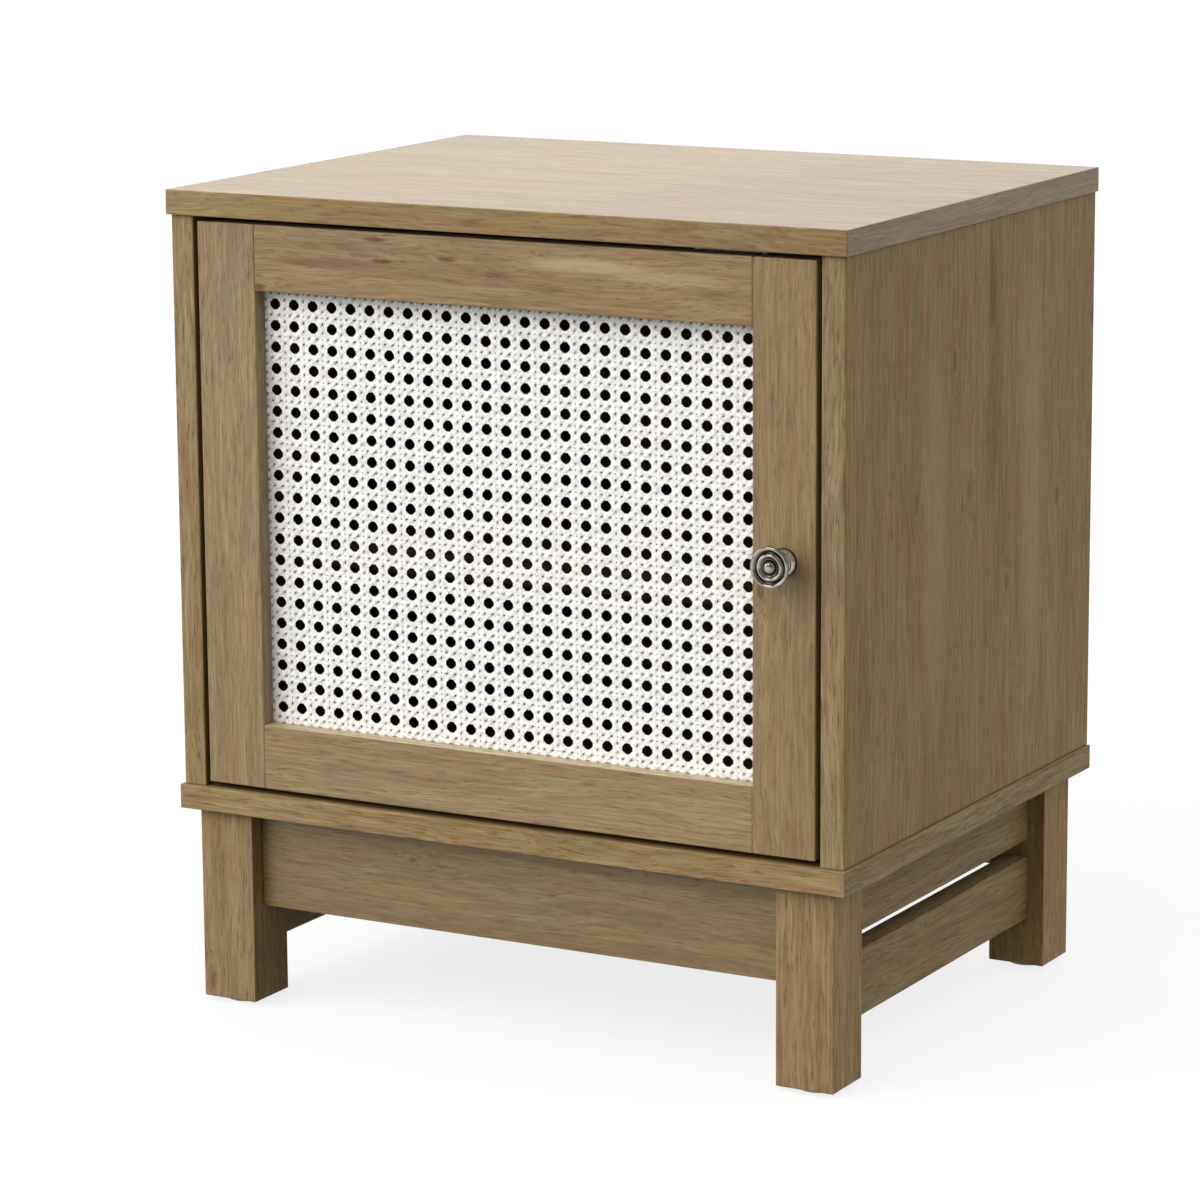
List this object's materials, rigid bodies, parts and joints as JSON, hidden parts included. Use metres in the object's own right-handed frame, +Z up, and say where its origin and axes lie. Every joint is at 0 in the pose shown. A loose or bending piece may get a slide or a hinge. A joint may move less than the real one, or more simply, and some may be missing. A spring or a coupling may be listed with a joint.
{
  "type": "storage side table",
  "caption": "Oak-effect storage side table: a cabinet with an inset hinged door, woven cane door panel, turned metal knob, inner shelf and a square-leg base.",
  "frame": {"origin": "on the floor, below the middle of the whole table with its knob", "axes": "+X to the right seen from the front, +Y from the front to the back, +Z up"},
  "size_m": [0.45, 0.367, 0.5],
  "materials": {
    "oak_foil": "light oak grain foil on board, satin, eased edges",
    "hardboard": "thin fibreboard with an oak grain foil",
    "cane": "white woven cane webbing, matte",
    "beech": "plain turned and planed beech",
    "nickel": "polished nickel plate, turned",
    "hinge_steel": "pressed steel, nickel plated",
    "zinc_steel": "zinc plated screw steel",
    "zinc_casting": "die-cast zinc",
    "white_plastic": "moulded, matte",
    "ferrite": "sintered ferrite magnet",
    "glide_plastic": "moulded nail-on glide"
  },
  "bodies": {
    "carcass": {"arm_screws": "zinc_steel", "back_panel": "hardboard", "base_dowels": "beech", "base_screws": "zinc_steel", "bottom_panel": "oak_foil", "cam_bolts": "zinc_steel", "cam_discs": "zinc_casting", "carcass_dowels": "beech", "catch_housing": "white_plastic", "catch_magnet": "ferrite", "catch_screws": "zinc_steel", "front_apron": "oak_foil", "front_left_glide": "glide_plastic", "front_left_leg": "oak_foil", "front_right_glide": "glide_plastic", "front_right_leg": "oak_foil", "left_lower_rail": "oak_foil", "left_side_panel": "oak_foil", "left_upper_rail": "oak_foil", "lower_hinge_arm": "hinge_steel", "lower_mounting_plate": "hinge_steel", "plate_screws": "zinc_steel", "rear_apron": "oak_foil", "rear_left_glide": "glide_plastic", "rear_left_leg": "oak_foil", "rear_right_glide": "glide_plastic", "rear_right_leg": "oak_foil", "right_lower_rail": "oak_foil", "right_side_panel": "oak_foil", "right_upper_rail": "oak_foil", "shelf": "oak_foil", "shelf_pins": "hinge_steel", "top_panel": "oak_foil", "upper_hinge_arm": "hinge_steel", "upper_mounting_plate": "hinge_steel"},
    "door": {"hinge_stile": "oak_foil", "knob_stile": "oak_foil", "door_top_rail": "oak_foil", "door_bottom_rail": "oak_foil", "door_dowels": "beech", "cane_panel": "cane", "hinge_side_cane_stop": "beech", "knob_side_cane_stop": "beech", "upper_cane_stop": "beech", "lower_cane_stop": "beech", "knob": "nickel", "knob_screw": "zinc_steel", "upper_hinge_cup": "hinge_steel", "lower_hinge_cup": "hinge_steel", "upper_hinge_pin": "hinge_steel", "lower_hinge_pin": "hinge_steel", "cup_screws": "zinc_steel", "strike_plate": "hinge_steel", "strike_screws": "zinc_steel"}
  },
  "joints": [
    {"name": "door_swing", "type": "hinge", "parent": "carcass", "child": "door", "pos_m": [-0.1898, -0.156, 0.311], "axis": [0, 0, -1], "range_deg": [0, 95]}
  ]
}
